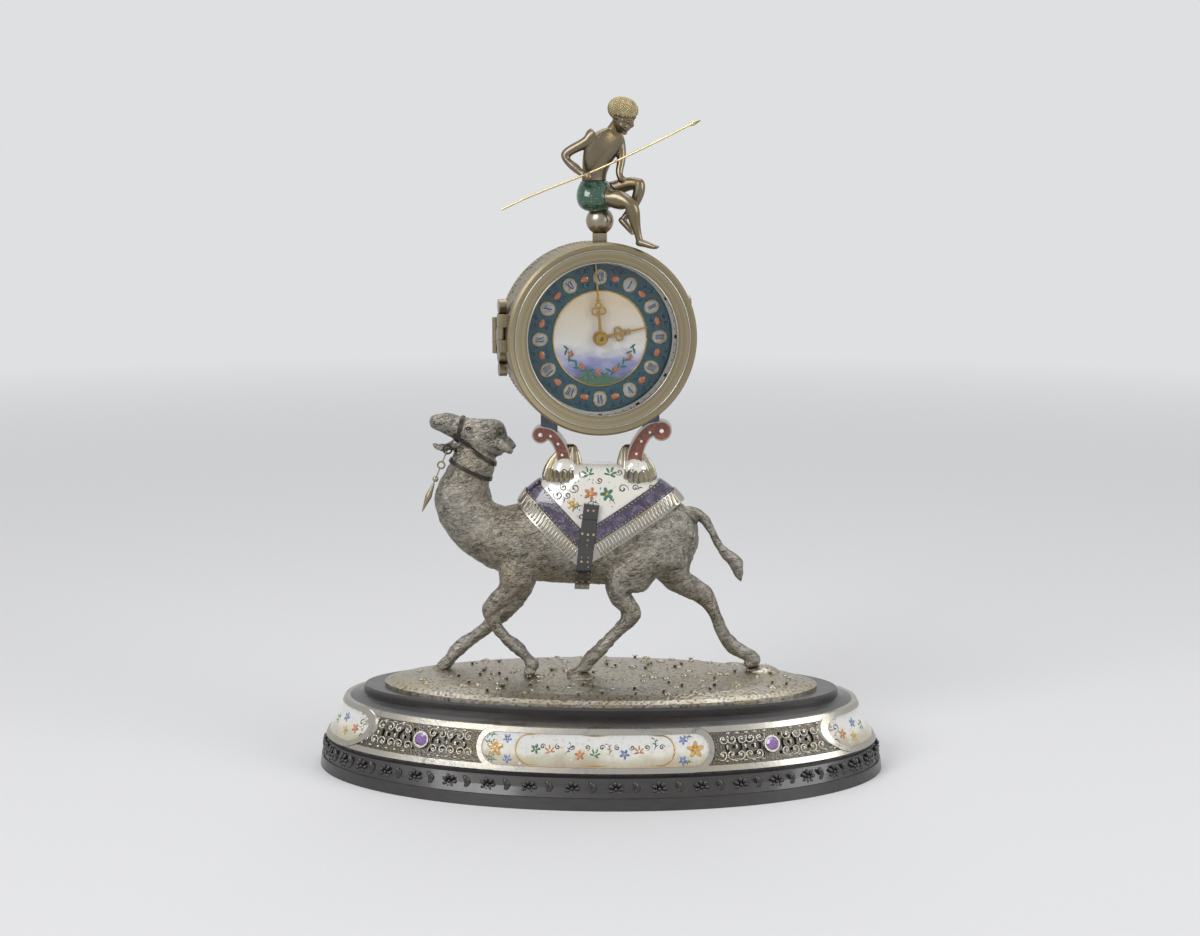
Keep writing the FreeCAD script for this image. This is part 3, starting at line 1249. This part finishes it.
# Motion work
cannon_bore = centre_arbor_radius + pipe_fit
cannon_radius = cannon_bore + cannon_wall
cannon_phase = motion_direction
minute_phase = mesh_phase(cannon_phase, cannon_teeth, motion_direction, minute_wheel_teeth)
hour_phase = mesh_phase(minute_phase, minute_pinion_teeth, motion_direction + 180.0, hour_wheel_teeth)
cannon_front = minute_hand_lift + hand_thickness
cannon_pipe = ring(cannon_radius, 0, -cannon_back, cannon_front)
cannon_leaves = gear_disc(cannon_teeth, minute_module, -cannon_back,
                          -cannon_back + motion_wheel_thickness * 1.6, centre,
                          cannon_phase)
cannon_hole = cylinder(cannon_bore, cannon_back + cannon_front, Vec(0, 0, -cannon_back))
save("cannon_pinion", placed(fuse_all([cannon_pipe, cannon_leaves]).cut(cannon_hole)))

minute_disc = crossed(minute_wheel_teeth, minute_module, -minute_wheel_back,
                      -minute_wheel_back + motion_wheel_thickness,
                      minute_at, minute_phase, 3)
minute_leaves = gear_disc(minute_pinion_teeth, hour_module, -minute_wheel_back,
                          -hour_wheel_back + motion_wheel_thickness * 1.4,
                          minute_at, minute_phase)
minute_bore = cylinder(motion_stud_radius + pivot_fit, 2 * front_plate_top,
                       Vec(minute_at[0], minute_at[1], -2 * front_plate_top))
save("minute_wheel", placed(fuse_all([minute_disc, minute_leaves]).cut(minute_bore)))
stud_top = -hour_wheel_back + motion_wheel_thickness * 1.8
stud = cylinder(motion_stud_radius, stud_top - front_plate_back,
                Vec(minute_at[0], minute_at[1], front_plate_back))
click_parts = [click_screw, click_head]
save("pillars_and_studs", Part.makeCompound([placed(shape)
                                             for shape in pillars + [stud, fuse_all(click_parts)]]))

hour_bore = cannon_radius + pipe_fit
hour_disc = gear_disc(hour_wheel_teeth, hour_module, -hour_wheel_back,
                      -hour_wheel_back + motion_wheel_thickness, centre, hour_phase)
hour_front = hour_hand_lift + hand_thickness
hour_pipe = ring(hour_pipe_radius, 0, -hour_wheel_back, hour_front)
hour_hole = cylinder(hour_bore, hour_wheel_back + hour_front, Vec(0, 0, -hour_wheel_back))
save("hour_wheel", placed(fuse_all([hour_disc, hour_pipe]).cut(hour_hole)))


def hand(length, lift, collet_bore, turn_angle):
    """An openwork scroll hand: a collet, a ringed scroll, and a tapering finger."""
    low = lift
    high = lift + hand_thickness
    collet = ring(hand_hub_radius, collet_bore, low, high)
    scroll_at = length * hand_ring_share / 2 + hand_ring_radius
    stem = flat_solid([(-hand_root_width / 2, hand_hub_radius * 0.8),
                       (hand_root_width / 2, hand_hub_radius * 0.8),
                       (hand_tip_width, scroll_at + hand_ring_radius),
                       (-hand_tip_width, scroll_at + hand_ring_radius)],
                      low, high)
    loops = [ring(hand_ring_radius, hand_ring_radius - hand_ring_width, low, high,
                  side * hand_ring_radius * 0.85, scroll_at)
             for side in (-1, 1)]
    top_loop = ring(hand_ring_radius * 0.8, hand_ring_radius * 0.8 - hand_ring_width, low, high, 0,
                    scroll_at + hand_ring_radius * 1.45)
    cross = flat_solid([(-hand_root_width, scroll_at + hand_ring_radius * 2.6),
                        (0, scroll_at + hand_ring_radius * 2.3),
                        (hand_root_width, scroll_at + hand_ring_radius * 2.6),
                        (0, scroll_at + hand_ring_radius * 3.1)], low, high)
    finger = flat_solid([(-hand_root_width / 3, scroll_at + hand_ring_radius * 2.0),
                         (hand_root_width / 3, scroll_at + hand_ring_radius * 2.0),
                         (hand_tip_width / 2, length), (-hand_tip_width / 2, length)], low, high)
    shape = fuse_all([collet, stem, top_loop, cross, finger] + loops)
    shape.rotate(Vec(0, 0, 0), Vec(0, 0, 1), turn_angle)
    return shape


save("hour_hand", placed(hand(hour_hand_length, hour_hand_lift, hour_pipe_radius, hour_hand_turn)))
hub = ring(hand_hub_radius * 0.8, 0, minute_hand_lift + hand_thickness,
           minute_hand_lift + hand_thickness + hand_hub_height * 0.9)
hub_hole = Part.makeBox(hand_square, hand_square, 2 * hand_hub_height)
hub_hole.translate(Vec(-hand_square / 2, -hand_square / 2, minute_hand_lift + hand_thickness))
minute_hand = hand(minute_hand_length, minute_hand_lift, cannon_radius, minute_hand_turn)
minute_hand = fuse_all([minute_hand, hub]).cut(hub_hole)
save("minute_hand", placed(minute_hand))

# Gadrooned cups over the humps, their underside shaped to the saddle cloth
cup_foot = camel_ground + cup_foot_above_plate
cloth_outer = torso(cloth_thickness + cup_seat_gap)


def gadrooned_cup(at_x):
    """A dome with rounded lobes on a level foot, its top leaning towards the middle."""
    wires = []
    for level_share, spread_share, lean_share, depth_share, back_share in cup_level_shares:
        level_x = at_x - math.copysign(lean_share * cup_height, at_x)
        points = []
        steps = 4 * cup_lobes
        for step in range(steps + 1):
            angle = 2 * math.pi * step / steps
            swell = abs(math.cos(cup_lobes * angle / 2)) - 1
            reach = cup_radius + cup_lobe_depth * swell
            points.append(Vec(level_x + reach * spread_share * math.cos(angle),
                              cup_height * back_share + reach * depth_share * math.sin(angle),
                              cup_foot + cup_height * level_share))
        points[-1] = points[0]
        wires.append(Part.makePolygon(points))
    return Part.makeLoft(wires, True, True)


# Scroll brackets with enamel inlays and pearls, one outline mirrored for the rear
bracket_foot = camel_ground + bracket_foot_above_plate


def bracket_size(side):
    """Height and foot distance of the front bracket or of the rear one."""
    if side < 0:
        return front_bracket_height, front_bracket_foot_x
    return rear_bracket_height, rear_bracket_foot_x


def bracket_point(share, side, depth):
    """A point of the bracket's outline; the side mirrors it."""
    height, foot_x = bracket_size(side)
    return Vec(side * (foot_x - share[0] * height), depth, bracket_foot + share[1] * height)


def bracket_solid(side, margin, back, front):
    """The bracket's arm and volute between two depths, its outline drawn in by a margin."""
    height = bracket_size(side)[0]
    trim = margin / height
    outer = [bracket_point((x - trim, z - trim * 0.5), side, back) for x, z in bracket_outer_shares]
    inner = [bracket_point((x + trim * 0.6, z + trim), side, back) for x, z in bracket_inner_shares]
    outer_curve = Part.BSplineCurve()
    outer_curve.interpolate(outer)
    inner_curve = Part.BSplineCurve()
    inner_curve.interpolate(inner)
    edges = [outer_curve.toShape(), Part.LineSegment(outer[-1], inner[0]).toShape(), inner_curve.toShape(),
             Part.LineSegment(inner[-1], outer[0]).toShape()]
    arm = Part.Face(Part.Wire(edges)).extrude(Vec(0, front - back, 0))
    centre_point = bracket_point(volute_centre_share, side, back)
    volute = cylinder(volute_radius_share * height - margin, front - back, centre_point, Vec(0, 1, 0))
    return arm.fuse(volute).removeSplitter()


half_bracket = bracket_thickness / 2
inlays = []
pearls = []
cups = []
brackets = []
blocks = []
case_body = placed(ring(case_radius, 0, -case_back, case_front))
bezel_room = placed(ring(bezel_radius + drum_clearance, 0, case_front, bezel_front + drum_clearance))
for side in (-1, 1):
    bracket_blank = bracket_solid(side, 0.0, -half_bracket, half_bracket)
    recess = [bracket_solid(side, enamel_margin, -half_bracket, -half_bracket + enamel_depth),
              bracket_solid(side, enamel_margin, half_bracket - enamel_depth, half_bracket)]
    foot_point = bracket_point((0.0, 0.0), side, 0)
    collar = cylinder(collar_radius, collar_height, foot_point - Vec(0, 0, collar_height / 2))
    bracket = bracket_blank.cut(recess).fuse(collar).removeSplitter()
    inlays += [solid for shape in recess for solid in shape.cut([collar, cloth_outer, camel_trunk]).Solids]
    side_pearls = []
    for index, share in enumerate(pearl_place_shares):
        radius = big_pearl_radius if index == 0 else pearl_radius
        for face in (-1, 1):
            seat_point = bracket_point(share, side, face * half_bracket)
            pearl = Part.makeSphere(radius, seat_point).common(
                Part.makeBox(4 * radius, 2 * radius, 4 * radius,
                             seat_point + Vec(-2 * radius, 0 if face > 0 else -2 * radius, -2 * radius)))
            side_pearls.append(pearl)
    cup_x = front_cup_x if side < 0 else rear_cup_x
    cup = gadrooned_cup(cup_x).cut(cloth_outer).cut([bracket_blank, collar, camel_trunk] + side_pearls)
    cups.append(max(cup.Solids, key=lambda solid: solid.Volume))
    bracket = bracket.cut([cloth_outer, camel_trunk])
    pearls += side_pearls
    foot_z = bracket_point((0.0, block_foot_share), side, 0).z
    block = Part.makeBox(2 * block_half_width, 2 * block_half_depth, block_reach,
                         Vec(block_middle_x + side * block_x - block_half_width, -block_half_depth, foot_z))
    block = block.cut([case_body, bezel_room, bracket_blank])
    blocks.append(max(block.Solids, key=lambda solid: solid.Volume))
    brackets.append(max(bracket.Solids, key=lambda solid: solid.Volume))

save("hump_cups", Part.makeCompound(cups))
save("scroll_brackets", Part.makeCompound(brackets))
save("case_blocks", Part.makeCompound(blocks))
save("bracket_enamels", Part.makeCompound(inlays))
save("bracket_pearls", Part.makeCompound(pearls))

# Finial: pedestal on the case, ball, and the figure that sits on it
case_top = drum_height + case_radius
pedestal = Part.makeBox(2 * pedestal_half_width, 2 * pedestal_half_width,
                        pedestal_height + pedestal_half_width,
                        Vec(finial_x - pedestal_half_width, -pedestal_half_width,
                            case_top - pedestal_half_width))
pedestal = pedestal.cut(case_body)
ball_height = case_top + pedestal_height + ball_radius * (1 - ball_sink_share)
ball = Part.makeSphere(ball_radius, Vec(finial_x, 0, ball_height))
save("finial", fuse_all([pedestal, ball]))

seat_point = Vec(finial_x, 0, ball_height + ball_radius * (1 - figure_seat_sink_share))
facing = math.radians(figure_turn)
shoulder_line = Vec(math.cos(facing), math.sin(facing), 0)
figure_front = Vec(math.sin(facing), -math.cos(facing), 0)


def figure_point(x, y, z):
    """A point of the figure from shares of its stature."""
    return seat_point + Vec(x, y, z) * figure_stature


def limb(stations):
    """A round limb through stations of x, y, z and radius, its sections carried along without twist."""
    wires = []
    last = len(stations) - 1
    side = figure_front.cross(Vec(0, 0, 1))
    for index, (x, y, z, radius) in enumerate(stations):
        before = figure_point(*stations[max(index - 1, 0)][:3])
        after = figure_point(*stations[min(index + 1, last)][:3])
        along = (after - before).normalize()
        side = (side - along * side.dot(along)).normalize()
        across = side.cross(along)
        size = radius * figure_stature
        wires.append(section_wire(figure_point(x, y, z), across, side, size, size))
    shape = Part.makeLoft(wires, True, False, False, loft_degree)
    if shape.Volume < 0:
        shape.reverse()
    return shape


def level_body(stations):
    """A body of level sections, wide along the shoulders and thin from front to back."""
    wires = []
    for x, y, z, wide, deep in stations:
        centre = figure_point(x, y, z)
        half_deep = deep * figure_stature
        half_wide = wide * figure_stature
        wires.append(section_wire(centre, figure_front * -1, shoulder_line, half_deep, half_wide))
    shape = Part.makeLoft(wires, True, False, False, loft_degree)
    if shape.Volume < 0:
        shape.reverse()
    return shape


def egg(centre, sizes, tilt):
    """An egg-shaped solid tipped forward by an angle."""
    ball_shape = Part.makeSphere(1)
    stretch = FreeCAD.Matrix()
    stretch.scale(*[size * figure_stature for size in sizes])
    shape = ball_shape.transformGeometry(stretch)
    shape.rotate(Vec(0, 0, 0), Vec(0, 1, 0), tilt)
    shape.rotate(Vec(0, 0, 0), Vec(0, 0, 1), math.degrees(math.atan2(figure_front.y, figure_front.x)))
    shape.translate(centre)
    return shape


spear_line = Part.BSplineCurve()
spear_line.interpolate([figure_point(*share) for share in spear_shares])


def link_ring(radius, wire, centre, axis, start):
    """A ring of bevelled wire, its seam in the direction start."""
    points = []
    for side in range(link_sides):
        angle = 2 * math.pi * (side + 1 / 2) / link_sides
        reach = start * (radius + wire * math.cos(angle))
        points.append(centre + reach + axis * (wire * math.sin(angle)))
    section = Part.Face(Part.makePolygon(points + points[:1]))
    return section.revolve(centre, axis, 360)


def rod_along(stations):
    """A straight-sided rod through parallel round sections, given as places and radii."""
    wires = [Part.Wire(Part.Circle(place, spear_run, radius).toShape()) for place, radius in stations]
    return Part.makeLoft(wires, True, True)


spear_span = spear_line.LastParameter - spear_line.FirstParameter
spear_places = [spear_line.value(spear_line.FirstParameter + spear_span * step / spear_steps)
                for step in range(spear_steps + 1)]
spear_run = (spear_places[-1] - spear_places[0]).normalize()
spear_head_stations = [(spear_places[-1] + spear_run * (spear_head_length * spear_barb_share),
                        spear_head_radius),
                       (spear_places[-1] + spear_run * spear_head_length, spear_tip_radius)]
spear = rod_along([(place, spear_radius) for place in spear_places] + spear_head_stations)
spear_room = rod_along([(place, spear_radius + spear_fit) for place in spear_places])
drum_room = placed(ring(bezel_radius + drum_clearance, 0, -case_back, bezel_front + drum_clearance))
loincloth = level_body(loincloth_shares).cut([ball, spear_room])
loincloth = max(loincloth.Solids, key=lambda solid: solid.Volume)
around = [spear_room, ball, loincloth]
upper_body = fuse_all([level_body(torso_shares), limb(near_arm_shares), limb(far_arm_shares),
                       limb(neck_stub_shares)])
upper_body = max(upper_body.cut(around).Solids, key=lambda solid: solid.Volume)
far_leg = fuse_all([limb(far_thigh_shares), limb(far_shin_shares)])
legs_of_figure = []
for leg, foot_stations in ((limb(near_leg_shares), near_foot_shares), (far_leg, far_foot_shares)):
    for neighbour in (loincloth, upper_body, spear_room):
        leg = leg.cut(neighbour)
    leg = max(leg.Solids, key=lambda solid: solid.Volume).fuse(limb(foot_stations)).cut([ball, drum_room])
    legs_of_figure.append(max(leg.Solids, key=lambda solid: solid.Volume))
skull_at = figure_point(*skull_place_share)
skull_form = egg(skull_at, skull_size_share, head_bow)
hair = egg(figure_point(*hair_place_share), hair_size_share, head_bow)
nose_at = skull_at + figure_front * (skull_size_share[0] * figure_stature)
nose = Part.makeSphere(nose_share * figure_stature, nose_at - Vec(0, 0, nose_drop_share * figure_stature))
figure_head = fuse_all([skull_form, hair, nose]).cut([upper_body, spear_room])
figure_head = max(figure_head.Solids, key=lambda solid: solid.Volume)
save("figure_body", Part.makeCompound([upper_body, figure_head] + legs_of_figure))
save("figure_loincloth", loincloth)
save("spear", spear)

# Bridle's fixed ring and the loose pendant that hangs from it
ring_at = Vec(ring_place_share[0] * camel_height, ring_place_share[1] * camel_height,
              camel_ground + ring_place_share[2] * camel_height)
ring_stud = cylinder(ring_stud_radius, -ring_at.y, ring_at + Vec(0, 0, ring_radius), Vec(0, 1, 0))
bridle_ring = Part.makeTorus(ring_radius, ring_wire, ring_at, Vec(0, 1, 0)).fuse(ring_stud)
bridle_ring = max(bridle_ring.cut([camel_head, camel_trunk]).Solids, key=lambda solid: solid.Volume)
strap_solids = [solid for strap in straps for solid in strap.cut(bridle_ring).Solids]
save("bridle_straps", Part.makeCompound(strap_solids + [bridle_ring]))
lean = math.radians(pendant_lean)
hang = Vec(-math.sin(lean), 0, -math.cos(lean))
pendant_pivot = ring_at + hang * ring_radius
pendant_side = Vec(0, 1, 0)
link_axis = hang.cross(pendant_side)
link = link_ring(link_radius, link_wire, pendant_pivot, link_axis, pendant_side)
pendant_ring_at = pendant_pivot + hang * (pendant_length * pendant_ring_share)
pendant_ring = link_ring(pendant_ring_radius, ring_wire, pendant_ring_at, pendant_side, link_axis)
chain = cylinder(chain_wire, pendant_length * pendant_ring_share - link_radius - pendant_ring_radius
                 + ring_wire,
                 pendant_pivot + hang * (link_radius - link_wire / 2), hang)
drop_start = pendant_length * pendant_ring_share + pendant_ring_radius - ring_wire / 2
drop_length = pendant_length * pendant_leaf_share - drop_start + ring_wire
drop_rod = cylinder(chain_wire, drop_length, pendant_pivot + hang * drop_start, hang)
bead_at = pendant_pivot + hang * (pendant_length * pendant_bead_share)
bead = Part.makeSphere(pendant_bead_radius, bead_at, hang)
leaf_length = pendant_length * (1 - pendant_leaf_share)
leaf_start = pendant_pivot + hang * (pendant_length * pendant_leaf_share)
leaf_widest = leaf_length * pendant_leaf_widest_share
leaf = Part.makeCone(pendant_leaf_root_radius, pendant_leaf_radius, leaf_widest, leaf_start, hang)
leaf_tip = Part.makeCone(pendant_leaf_radius, pendant_leaf_tip_radius, leaf_length - leaf_widest,
                         leaf_start + hang * leaf_widest, hang)
save("bridle_pendant", fuse_all([link, chain, pendant_ring, drop_rod, bead, leaf, leaf_tip]))
